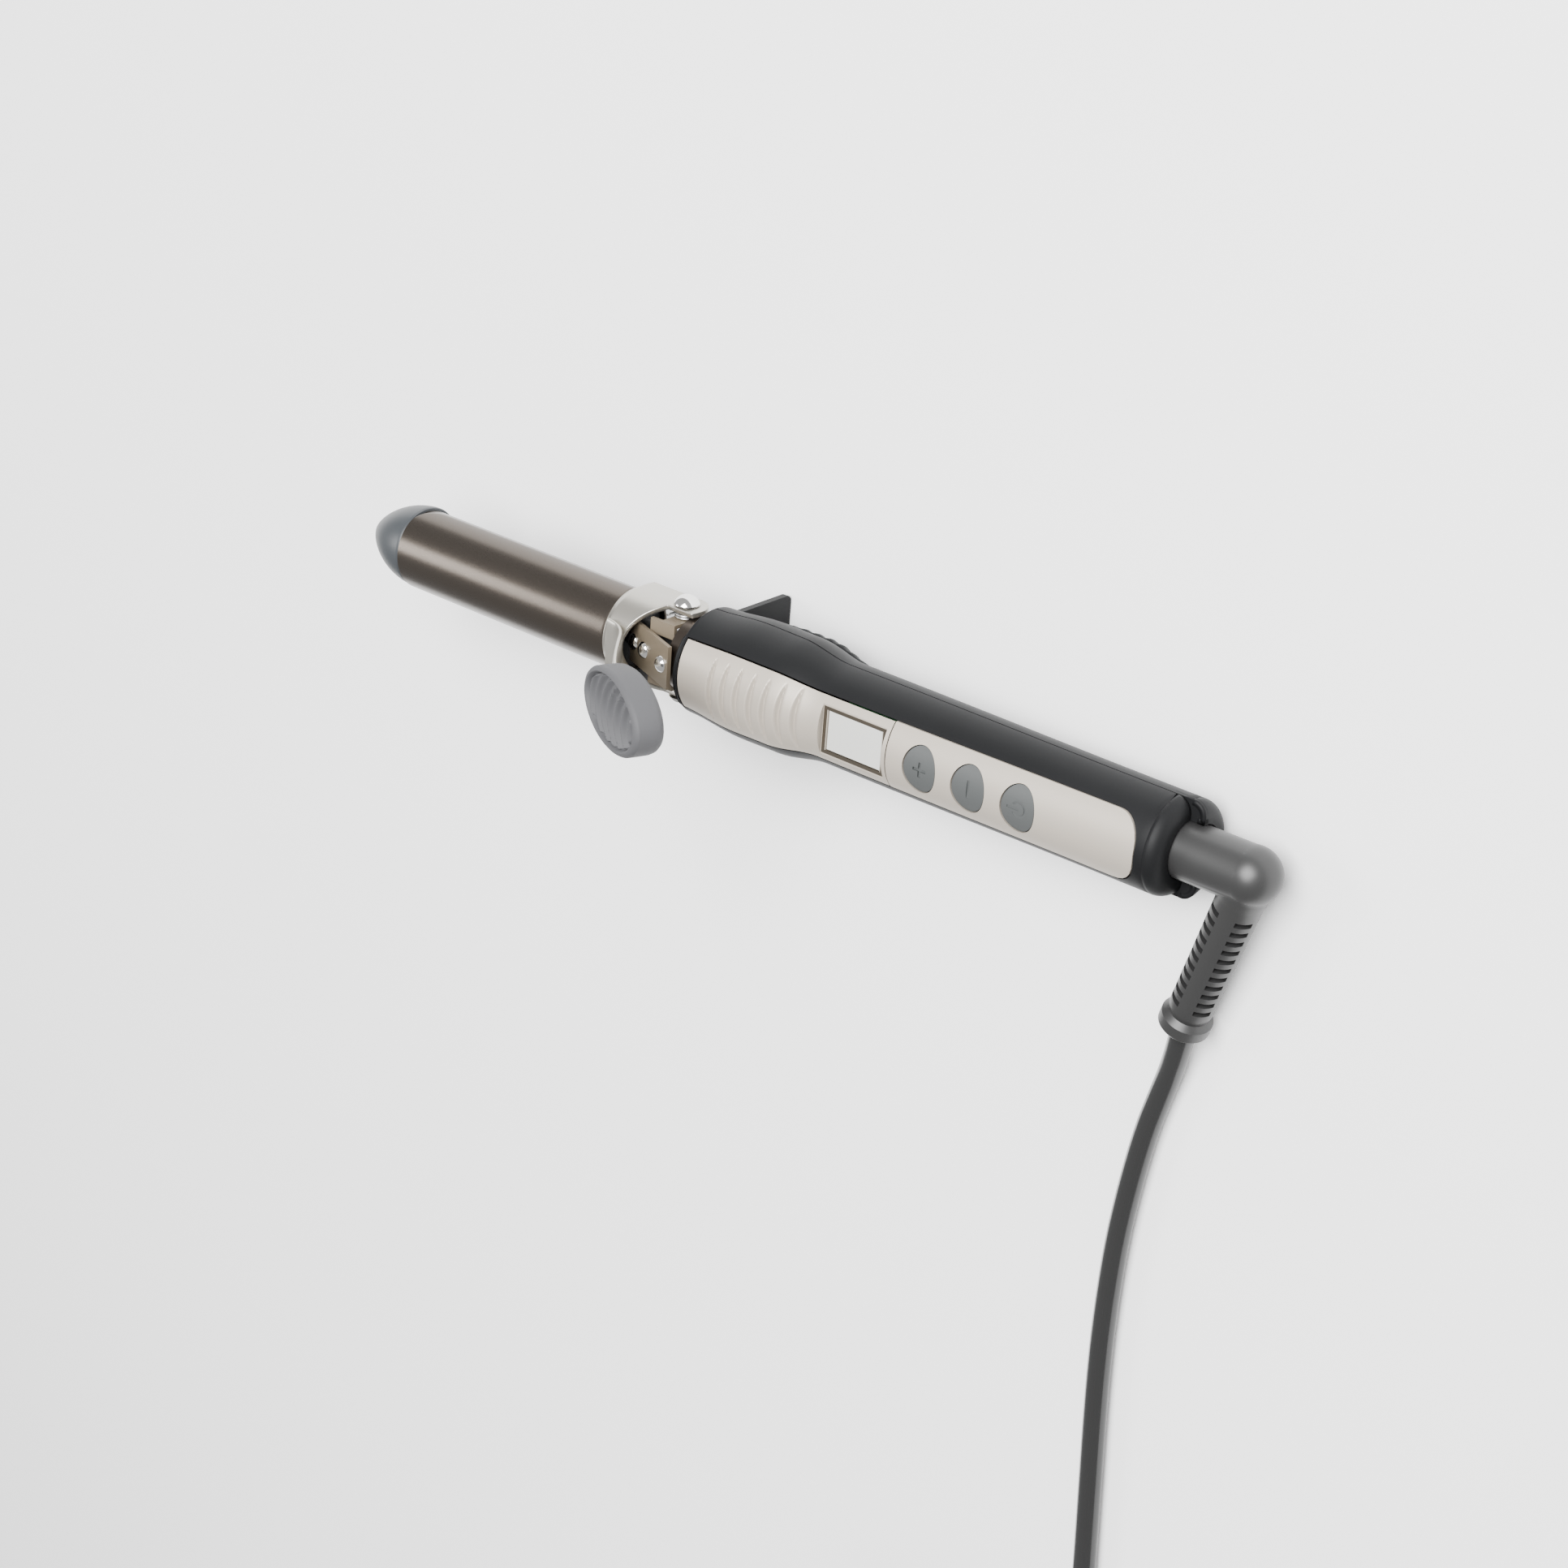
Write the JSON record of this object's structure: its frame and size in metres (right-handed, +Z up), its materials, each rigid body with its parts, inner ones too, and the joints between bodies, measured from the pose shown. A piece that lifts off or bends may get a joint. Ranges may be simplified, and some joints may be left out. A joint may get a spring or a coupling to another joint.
{
  "type": "curling iron",
  "caption": "Hand-held hair curling iron: heated barrel with a spring clamp and thumb lever, display, buttons, rest plate and swivel cord.",
  "frame": {"origin": "centre of the iron's footprint without its cord, on the surface it rests on", "axes": "+X towards the cool tip, +Z up; the iron is symmetric about Y = 0 and its nose points 5.2 degrees up"},
  "size_m": [0.3504, 0.4835, 0.0892],
  "materials": {
    "soft_touch_black": "soft-touch matt",
    "grip_black": "matt",
    "insulator_black": "matt",
    "champagne_satin": "satin metallic",
    "window_grey": "satin clear over grey",
    "lcd_module": "gloss",
    "board_green": "satin",
    "silicone_grey": "matt",
    "screw_steel": "bright",
    "contact_brass": "bright",
    "lead_red": "satin",
    "warm_metal": "satin warm grey-brown",
    "collar_metal": "satin light warm grey",
    "bracket_bronze": "satin bronze",
    "chrome": "polished",
    "spring_steel": "satin",
    "heater_aluminium": "extruded",
    "ceramic_white": "glazed",
    "sensor_amber": "gloss",
    "tip_charcoal": "satin",
    "lever_charcoal": "satin moulded",
    "button_charcoal": "satin",
    "spindle_ivory": "matt",
    "relief_black": "satin",
    "cord_black": "gloss",
    "tie_grey": "matt",
    "plug_black": "satin",
    "pin_nickel": "nickel"
  },
  "bodies": {
    "handle": {"front_shell": "soft_touch_black", "back_shell": "soft_touch_black", "back_grip": "grip_black", "neck_ring": "insulator_black", "rest_plate": "soft_touch_black", "front_panel": "champagne_satin", "rear_panel": "champagne_satin", "display_bezel": "champagne_satin", "display_window": "window_grey", "display_module": "lcd_module", "button_pad": "silicone_grey", "circuit_board": "board_green", "tact_switches": "insulator_black", "shell_screws": "screw_steel", "contact_leaves": "contact_brass", "internal_leads": "lead_red", "neck_sleeve": "warm_metal", "insulating_core": "insulator_black", "clamp_bracket": "bracket_bronze", "bracket_screws": "chrome", "pivot_rivets": "chrome", "clamp_spring": "spring_steel", "barrel_tube": "warm_metal", "barrel_end_ring": "insulator_black", "heater_upper_half": "heater_aluminium", "heater_lower_half": "heater_aluminium", "ceramic_heater": "ceramic_white", "temperature_sensor": "sensor_amber", "cool_tip": "tip_charcoal"},
    "clamp": {"clamp_plate": "warm_metal", "clamp_collar": "collar_metal", "thumb_lever": "lever_charcoal", "lever_screws": "screw_steel"},
    "plus_button": {"plus_button": "button_charcoal"},
    "minus_button": {"minus_button": "button_charcoal"},
    "power_button": {"power_button": "button_charcoal"},
    "cord": {"swivel_spindle": "spindle_ivory", "contact_rings": "contact_brass", "strain_relief": "relief_black", "cord_run": "cord_black", "cord_coil": "cord_black", "cord_tie": "tie_grey", "plug_body": "plug_black", "plug_pins": "pin_nickel"}
  },
  "joints": [
    {"name": "clamp_hinge", "type": "hinge", "parent": "handle", "child": "clamp", "pos_m": [0.02487, 0, 0.03134], "axis": [0, -1, 0], "range_deg": [0, 28], "stiffness_Nm_per_rad": 0.15, "springref_deg": -20.05},
    {"name": "plus_button_press", "type": "slide", "parent": "handle", "child": "plus_button", "axis": [0.0904, 0, -0.9959], "range_m": [0, 0.0006], "stiffness_N_per_m": 800},
    {"name": "minus_button_press", "type": "slide", "parent": "handle", "child": "minus_button", "axis": [0.0904, 0, -0.9959], "range_m": [0, 0.0006], "stiffness_N_per_m": 800},
    {"name": "power_button_press", "type": "slide", "parent": "handle", "child": "power_button", "axis": [0.0904, 0, -0.9959], "range_m": [0, 0.0006], "stiffness_N_per_m": 800},
    {"name": "cord_swivel", "type": "hinge", "parent": "handle", "child": "cord", "pos_m": [-0.15489, 0, 0.01503], "axis": [0.9959, 0, 0.0904], "continuous": true}
  ]
}
